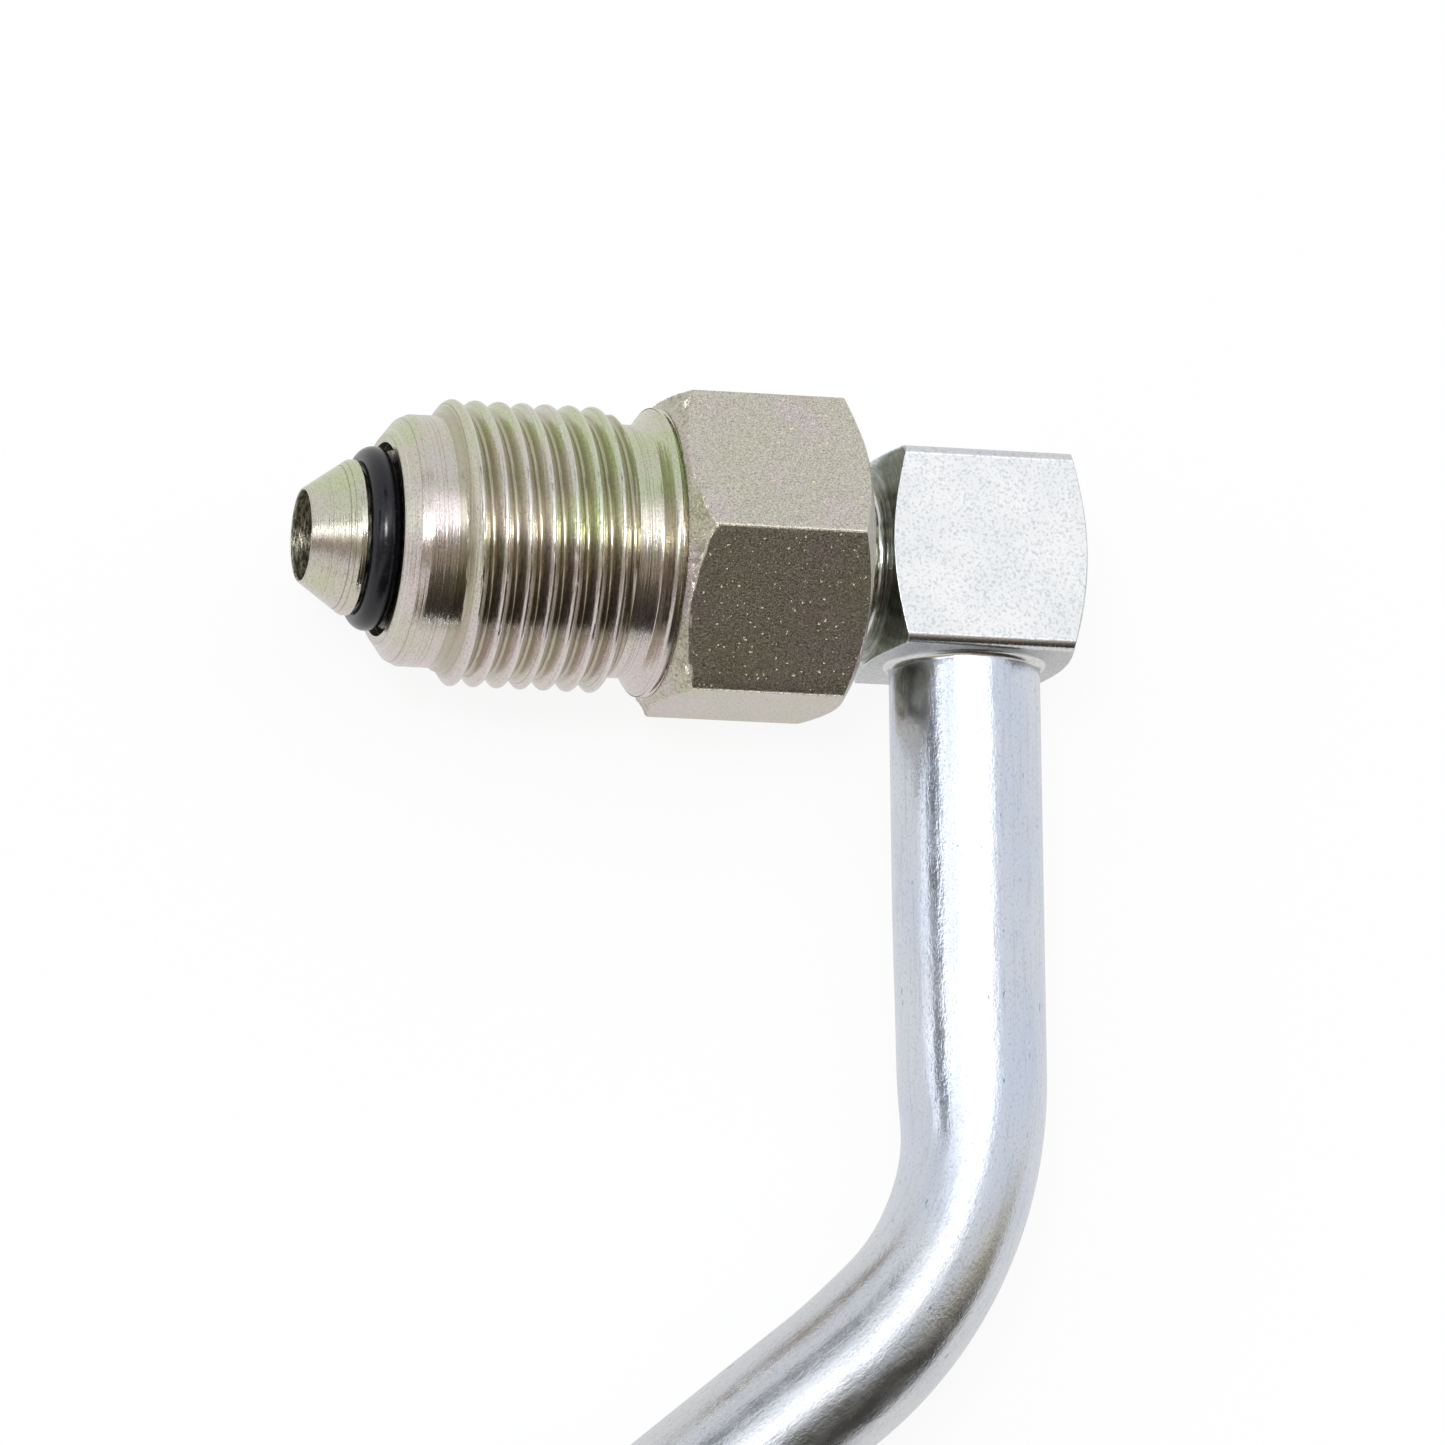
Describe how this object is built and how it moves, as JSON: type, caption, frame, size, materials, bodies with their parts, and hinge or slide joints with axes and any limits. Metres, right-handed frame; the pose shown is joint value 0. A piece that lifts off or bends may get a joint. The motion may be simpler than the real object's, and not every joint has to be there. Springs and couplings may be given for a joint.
{
  "type": "hydraulic hose assembly end",
  "caption": "Steel end of a hydraulic pressure hose: O-ring nose in a captive male swivel nut, square elbow block, bent steel tube and a crimp socket for the hose.",
  "frame": {"origin": "centre of the nose's front rim, where the oil passage opens", "axes": "+X along the nose from its rim to the elbow block, -Y along the tube's first run, +Z square to the plane that the nose and the tube lie in"},
  "size_m": [0.086, 0.1218, 0.022],
  "materials": {
    "zinc_yellowed": "zinc plate with a thin iridescent passivate, turned marks",
    "zinc_bright": "bright blue-white zinc plate",
    "zinc_satin": "satin zinc plate",
    "seal_rubber": "smooth black rubber"
  },
  "bodies": {
    "hose_end": {"nose_nipple": "zinc_yellowed", "nose_o_ring": "seal_rubber", "elbow_block": "zinc_bright", "nipple_braze": "zinc_bright", "bent_tube": "zinc_bright", "tube_braze": "zinc_bright", "hose_stem": "zinc_satin", "stem_braze": "zinc_satin", "crimp_ferrule": "zinc_satin"},
    "nut": {"swivel_nut": "zinc_yellowed"}
  },
  "joints": [
    {"name": "nut_swivel", "type": "hinge", "parent": "hose_end", "child": "nut", "pos_m": [0.02, 0, 0], "axis": [1, 0, 0], "continuous": true}
  ]
}
